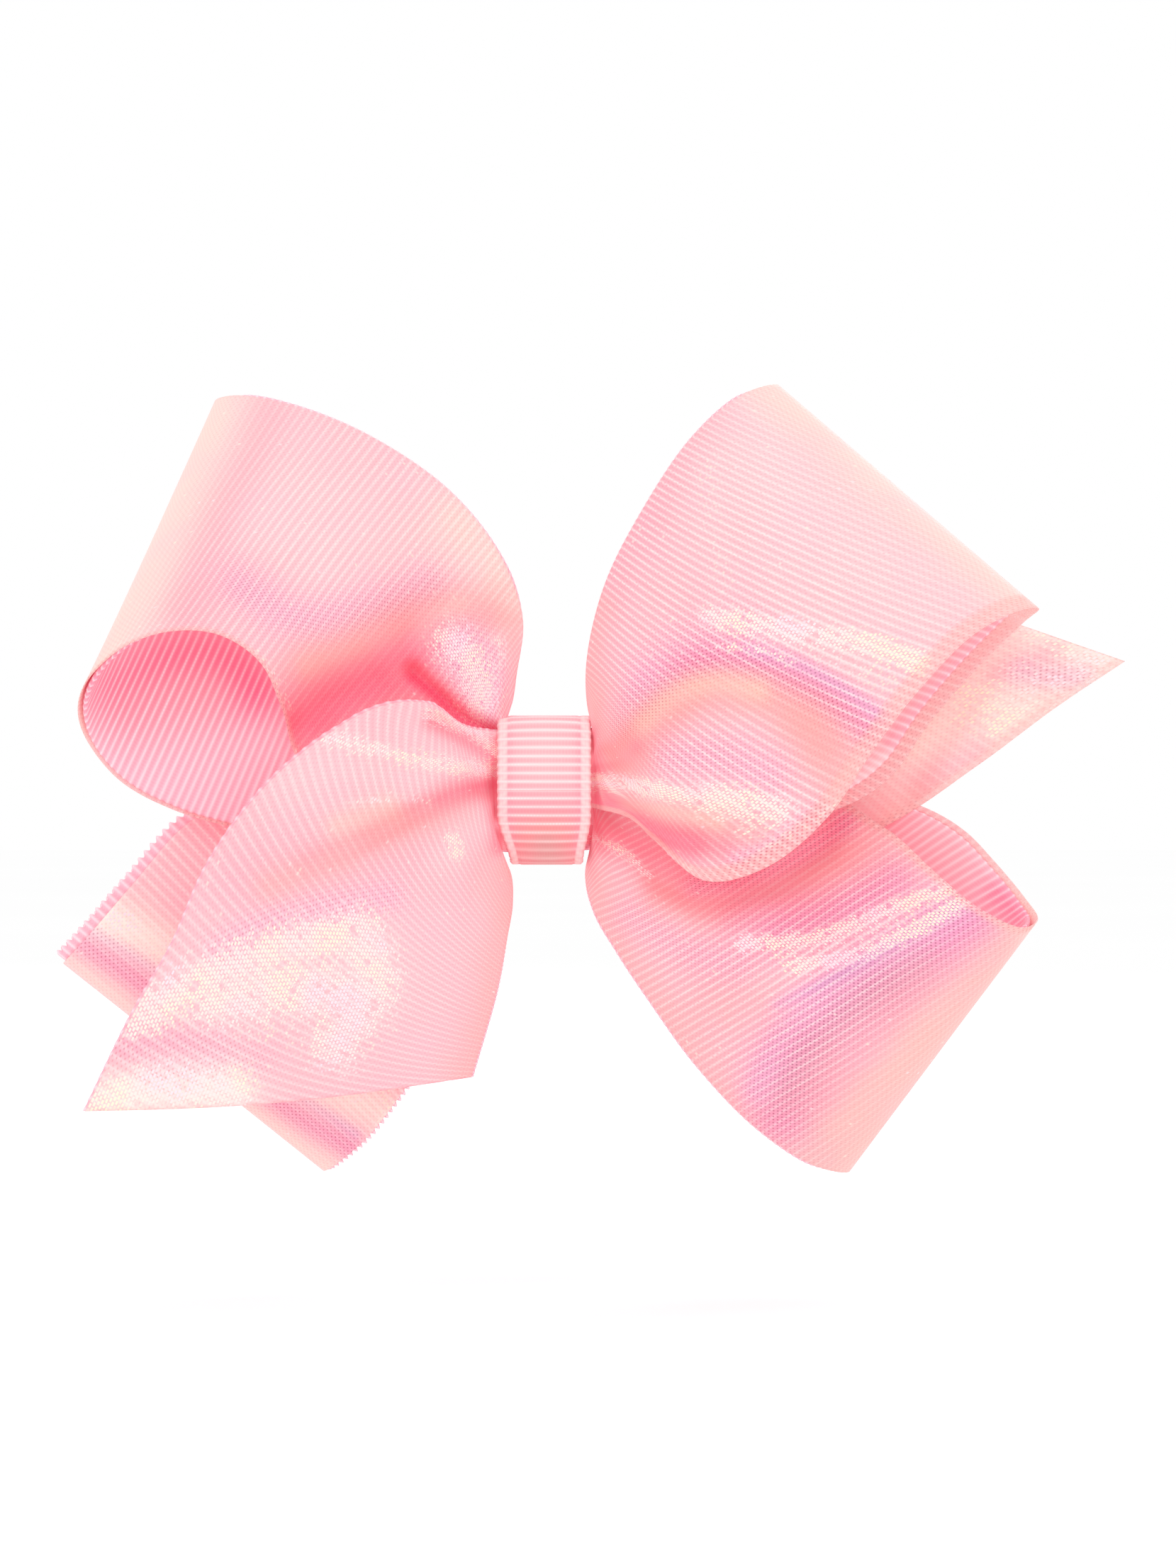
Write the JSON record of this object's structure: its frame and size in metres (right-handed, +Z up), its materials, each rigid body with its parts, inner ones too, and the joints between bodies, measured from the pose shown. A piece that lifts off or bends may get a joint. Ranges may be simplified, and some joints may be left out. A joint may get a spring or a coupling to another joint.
{
  "type": "hair bow",
  "caption": "Ribbon hair bow with looped and folded grosgrain under a sheer iridescent ribbon, narrow centre wrap and sprung alligator clip behind.",
  "frame": {"origin": "in the mouth of the clip, where it holds the hair, straight behind the middle of the centre wrap", "axes": "+X to the right seen from the front, +Z up, the bow faces -Y and the clip is behind it"},
  "size_m": [0.1113, 0.0308, 0.082],
  "materials": {
    "grosgrain": "ribbed grosgrain, matte",
    "sheer_ribbon": "sheer iridescent, pearl sheen",
    "wrap_grosgrain": "ribbed grosgrain, matte",
    "lining_grosgrain": "ribbed grosgrain, matte",
    "thread": "waxed thread",
    "glue": "set hot-melt glue",
    "clip_steel": "nickel plated",
    "spring_steel": "bright drawn wire"
  },
  "bodies": {
    "bow": {"upper_left_loop_grosgrain": "grosgrain", "upper_right_loop_grosgrain": "grosgrain", "lower_left_loop_grosgrain": "grosgrain", "lower_right_loop_grosgrain": "grosgrain", "front_tail_grosgrain": "grosgrain", "rear_tail_grosgrain": "grosgrain", "upper_left_loop_sheer": "sheer_ribbon", "upper_right_loop_sheer": "sheer_ribbon", "lower_left_loop_sheer": "sheer_ribbon", "lower_right_loop_sheer": "sheer_ribbon", "front_tail_sheer": "sheer_ribbon", "rear_tail_sheer": "sheer_ribbon", "gathered_centre": "grosgrain", "binding_thread": "thread", "centre_wrap": "wrap_grosgrain", "glue_pad": "glue", "clip_front_jaw": "clip_steel", "clip_lining": "lining_grosgrain", "clip_pivot_pin": "clip_steel", "clip_spring": "spring_steel"},
    "rear_jaw": {"clip_rear_jaw": "clip_steel"}
  },
  "joints": [
    {"name": "jaw_hinge", "type": "hinge", "parent": "bow", "child": "rear_jaw", "pos_m": [-0.014, 0.001, 0], "axis": [0, 0, 1], "range_deg": [0, 30], "stiffness_Nm_per_rad": 0.08, "springref_deg": -22.92, "deforming": ["clip_spring"]}
  ]
}
